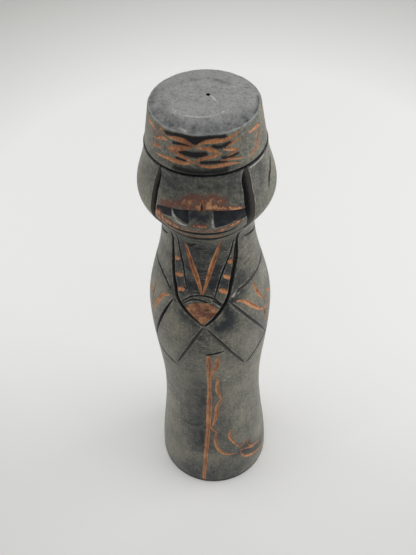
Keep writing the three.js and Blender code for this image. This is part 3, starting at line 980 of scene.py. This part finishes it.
palmWood = {
    "red": (0.16, 0.06, 0.042),
    "ochre": (0.5, 0.26, 0.125),
    "dark": (0.03, 0.022, 0.02),
    "cloud": (0.35, 5, 0.65),
    "fleck": (0.9, 4, 0.65),
    "ochreSpan": (0.4, 0.62),
    "darkSpan": (0.48, 0.3),
    "bump": (0.5, 0.2),
    "roughness": 0.4,
    "sheen": 0.3,
}


def makePalmWood():
    material, tree = newMaterial("palmWood")
    spec = palmWood
    even = millimetres(tree)
    cloud, fleck = (noiseAt(tree, even, *spec[name]) for name in ("cloud", "fleck"))
    colour = mixColour(tree, mapRange(tree, cloud, *spec["ochreSpan"]), spec["red"], spec["ochre"])
    colour = mixColour(tree, mapRange(tree, fleck, *spec["darkSpan"]), colour, spec["dark"])
    finishShader(tree, spec, colour, relief=fleck)
    return material


def finishDoll(doll):
    finishes = (makeStainedWood(), makeCutWood("groovedWood", groovedWood), makeBareWood(),
                makeHollowWood(), makePalmWood(), makeCutWood("seamWood", seamWood))
    for material in finishes:
        doll.data.materials.append(material)
        for cutter in cutters.objects:
            cutter.data.materials.append(material)
    carving = doll.modifiers.new("carving", "BOOLEAN")
    carving.operation = "DIFFERENCE"
    carving.solver = "MANIFOLD"
    carving.operand_type = "COLLECTION"
    carving.collection = cutters
    carving.material_mode = "INDEX"
    evaluated = doll.evaluated_get(bpy.context.evaluated_depsgraph_get())
    carved = bpy.data.meshes.new_from_object(evaluated)
    doll.modifiers.clear()
    doll.data = carved
    for cutter in list(cutters.objects):
        bpy.data.objects.remove(cutter)
    bpy.data.collections.remove(cutters)
    markSurface(carved)
    carved.shade_smooth()
    carved.set_sharp_from_angle(angle=math.radians(gouge["sharpAngle"]))
    carved.transform(Matrix.Scale(mm, 4))
    carved.calc_loop_triangles()
    print("doll carved:", len(carved.loop_triangles), "triangles")


# Floor, light and camera
studio = {
    "floorSize": 6,
    "floorNear": (0.87, 0.87, 0.86),
    "floorFar": (0.44, 0.44, 0.42),
    "floorMiddle": (0, 0.14),
    "floorPoolFade": (0.15, 0.34),  # painted pool of light: the floor fades from the near colour to the far one, in metres from the middle
    "floorFinish": {"roughness": 0.9, "sheen": 0.5},
    "worldColour": (1, 0.995, 0.98),
    "worldStrength": 0.42,
    "lamps": [  # place, size in metres and power in watts
        ((0.02, 0.04, 0.9), 1.8, 4.8),
        ((0.75, 0.05, 0.2), 0.8, 5.2),
        ((-0.75, 0.05, 0.25), 0.8, 2.6),
    ],
    "aim": (0, 0, 0.1),
}


def makeFloor():
    bm = bmesh.new()
    bmesh.ops.create_grid(bm, x_segments=2, y_segments=2, size=studio["floorSize"] / 2)
    floor = makeObject("floor", bm)
    material, tree = newMaterial("floorPaperPaintedPool")
    place = addNode(tree, "ShaderNodeTexCoord").outputs["Object"]
    ends = {0: place, 1: (*studio["floorMiddle"], 0)}
    away = addNode(tree, "ShaderNodeVectorMath", ends, operation="DISTANCE").outputs["Value"]
    # painted light: the floor darkens away from its middle
    poolFade = mapRange(tree, away, *studio["floorPoolFade"])
    colour = mixColour(tree, poolFade, studio["floorNear"], studio["floorFar"])
    finishShader(tree, studio["floorFinish"], colour)
    floor.data.materials.append(material)


def makeLight():
    world = bpy.data.worlds.new("softRoom")
    world.use_nodes = True
    background = world.node_tree.nodes["Background"]
    background.inputs["Color"].default_value = (*studio["worldColour"], 1)
    background.inputs["Strength"].default_value = studio["worldStrength"]
    bpy.context.scene.world = world
    for place, size, power in studio["lamps"]:
        lamp = bpy.data.lights.new("softLamp", "AREA")
        lamp.size = size
        lamp.energy = power
        holder = bpy.data.objects.new("softLamp", lamp)
        holder.location = place
        aim = Vector(studio["aim"]) - holder.location
        holder.rotation_euler = aim.to_track_quat("-Z", "Y").to_euler()
        bpy.context.scene.collection.objects.link(holder)
    bpy.context.scene.view_settings.view_transform = "Standard"


camera = {
    "distance": 0.1999,
    "height": 0.3188,
    "azimuth": 5.5,  # degrees round from the front, towards +X
    "pitch": 47.05,
    "roll": 1.676,
    "yaw": 0.115,
    "lens": 54.1,
    "sensor": 36,
    "clipStart": 0.01,
}


def makeCamera():
    data = bpy.data.cameras.new("camera")
    data.sensor_width = camera["sensor"]
    data.lens = camera["lens"]
    data.clip_start = camera["clipStart"]
    holder = bpy.data.objects.new("camera", data)
    around = Matrix.Rotation(math.radians(camera["azimuth"]), 4, "Z")
    place = Matrix.Translation((0, -camera["distance"], camera["height"]))
    tilt = Matrix.Rotation(math.radians(90 - camera["pitch"]), 4, "X")
    yaw = Matrix.Rotation(math.radians(camera["yaw"]), 4, "Y")
    roll = Matrix.Rotation(math.radians(-camera["roll"]), 4, "Z")
    holder.matrix_world = around @ place @ tilt @ yaw @ roll
    bpy.context.scene.collection.objects.link(holder)
    bpy.context.scene.camera = holder


makeCamera()
makeFloor()
makeLight()
print("camera, floor and light placed")
doll = turnBillet()
carveFace()
carveHeadband()
carveRobe()
carveCrown()
finishDoll(doll)
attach(doll, "root")
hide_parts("doll")
